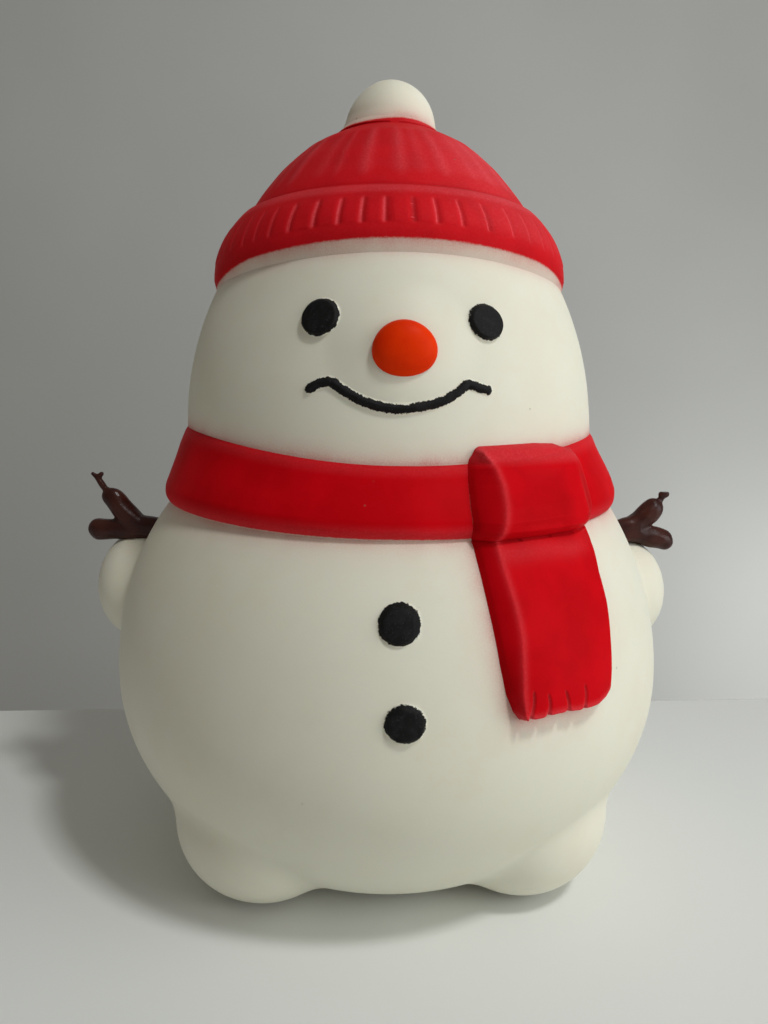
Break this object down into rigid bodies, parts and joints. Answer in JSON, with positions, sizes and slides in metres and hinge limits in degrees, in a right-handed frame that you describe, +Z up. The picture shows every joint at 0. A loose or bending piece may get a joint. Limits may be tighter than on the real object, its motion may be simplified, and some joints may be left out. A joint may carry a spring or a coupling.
{
  "type": "hollow vinyl snowman figure",
  "caption": "Hollow soft-vinyl snowman figure with a moulded hat, scarf, hands and feet, a plug-in nose, two plug-in forked twig arms and a base plug; stands on its flat underside.",
  "frame": {"origin": "middle of the underside, on the surface that the figure stands on", "axes": "+Z up through the bobble, -Y out of the face, +X towards the side where the scarf's end hangs"},
  "size_m": [0.2289, 0.2032, 0.28],
  "materials": {
    "white_vinyl": "translucent off-white soft vinyl with a satin skin; hat and scarf sprayed chalky red, eyes, mouth and buttons brushed matte black",
    "orange_vinyl": "satin orange vinyl, coloured through",
    "brown_vinyl": "satin dark brown vinyl, coloured through",
    "plug_vinyl": "plain off-white vinyl"
  },
  "bodies": {
    "root": {"body_shell": "white_vinyl", "nose": "orange_vinyl", "left_twig_arm": "brown_vinyl", "right_twig_arm": "brown_vinyl", "base_plug": "plug_vinyl"}
  },
  "joints": []
}
